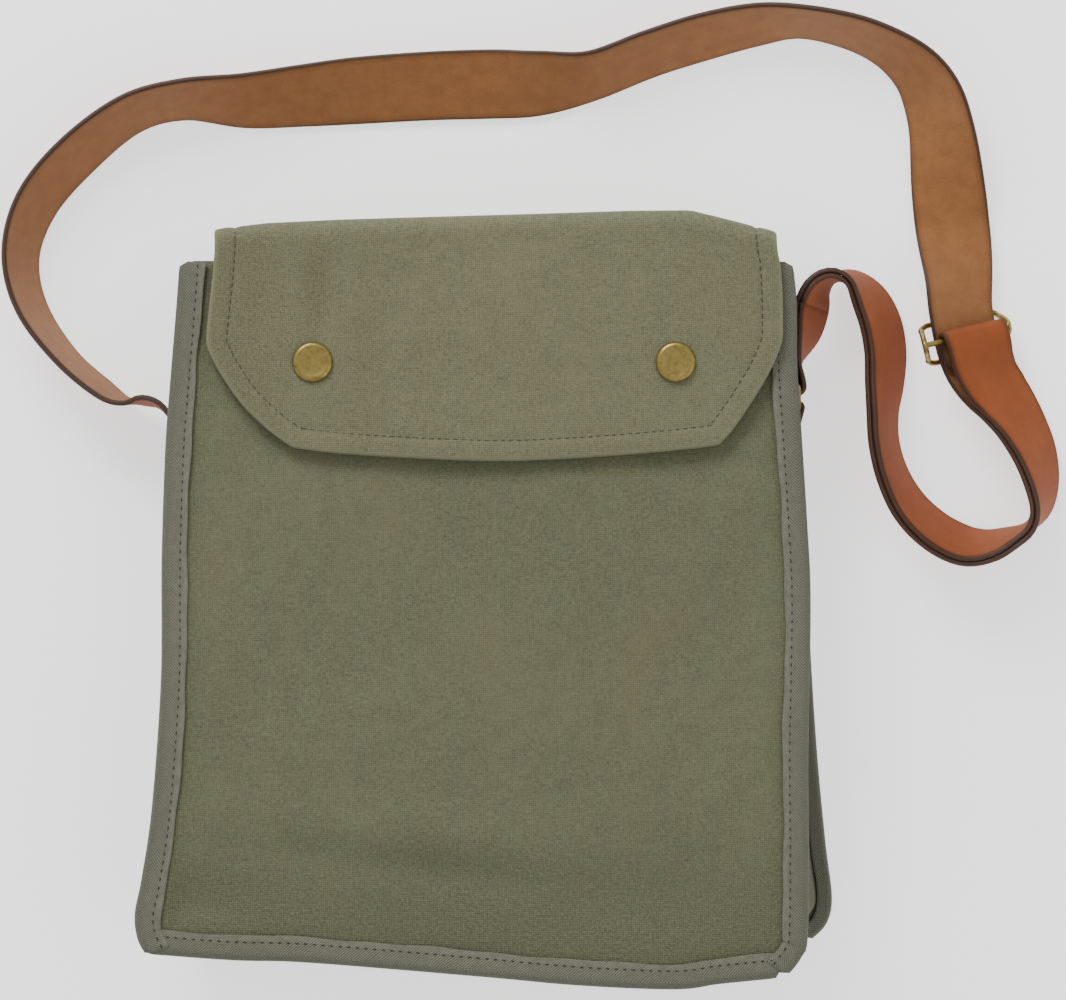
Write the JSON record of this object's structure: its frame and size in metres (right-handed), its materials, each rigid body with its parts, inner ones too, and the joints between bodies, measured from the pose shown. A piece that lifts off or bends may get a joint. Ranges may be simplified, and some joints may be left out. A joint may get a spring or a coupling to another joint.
{
  "type": "messenger bag",
  "caption": "Canvas messenger bag lying on its back, with a short snap flap, bound seams and an adjustable leather shoulder strap.",
  "frame": {"origin": "bottom centre of the bag's own box, strap and slide left out, on the surface that it lies on", "axes": "+Z out of the front panel, +Y from the bottom edge towards the flap's fold, +X to the right of the front panel"},
  "size_m": [0.4481, 0.4067, 0.0599],
  "materials": {
    "canvas": "olive cotton canvas, plain weave",
    "gusset_canvas": "olive cotton canvas in the gussets",
    "lining": "light cotton lining",
    "binding_tape": "chevron twill tape, grey green",
    "leather": "tan bridle leather, suede flesh side, dark burnished edges",
    "brass": "antique brass"
  },
  "bodies": {
    "bag": {"front_panel": "canvas", "back_panel": "canvas", "left_gusset": "gusset_canvas", "right_gusset": "gusset_canvas", "bottom_gusset": "gusset_canvas", "mouth_hem": "canvas", "front_binding_left": "binding_tape", "front_binding_right": "binding_tape", "front_binding_bottom": "binding_tape", "back_binding_left": "binding_tape", "back_binding_right": "binding_tape", "back_binding_bottom": "binding_tape", "strap_long": "leather", "strap_return": "leather", "ring_tab": "leather", "left_stud": "brass", "left_stud_backing": "brass", "right_stud": "brass", "right_stud_backing": "brass", "strap_rivet_1": "brass", "strap_rivet_2": "brass", "tab_rivet_1": "brass", "tab_rivet_2": "brass"},
    "spine": {"flap_spine": "canvas"},
    "flap": {"flap_outer": "canvas", "flap_lining": "lining", "left_cap": "brass", "left_socket": "brass", "right_cap": "brass", "right_socket": "brass"},
    "slide": {"slide_frame": "brass", "slide_bar": "brass"},
    "ring": {"strap_ring": "brass"}
  },
  "joints": [
    {"name": "flap_seam", "type": "hinge", "parent": "bag", "child": "spine", "pos_m": [0, 0.1405, 0.0034], "axis": [-1, 0, 0], "range_deg": [0, 60]},
    {"name": "flap_fold", "type": "hinge", "parent": "spine", "child": "flap", "pos_m": [0, 0.158, 0.057], "axis": [-1, 0, 0], "range_deg": [0, 75]},
    {"name": "slide_travel", "type": "slide", "parent": "bag", "child": "slide", "axis": [0.2371, -0.9715, 0], "range_m": [-0.006, 0.006], "deforming": ["strap_long", "strap_return"]},
    {"name": "ring_swing", "type": "hinge", "parent": "bag", "child": "ring", "pos_m": [0.1309, 0.0775, 0.0255], "axis": [0, 0, 1], "range_deg": [-12, 12], "deforming": ["strap_long", "strap_return"]}
  ],
  "couplings": [
    {"joint": "flap_fold", "follows": "flap_seam", "ratio": 1.25}
  ]
}
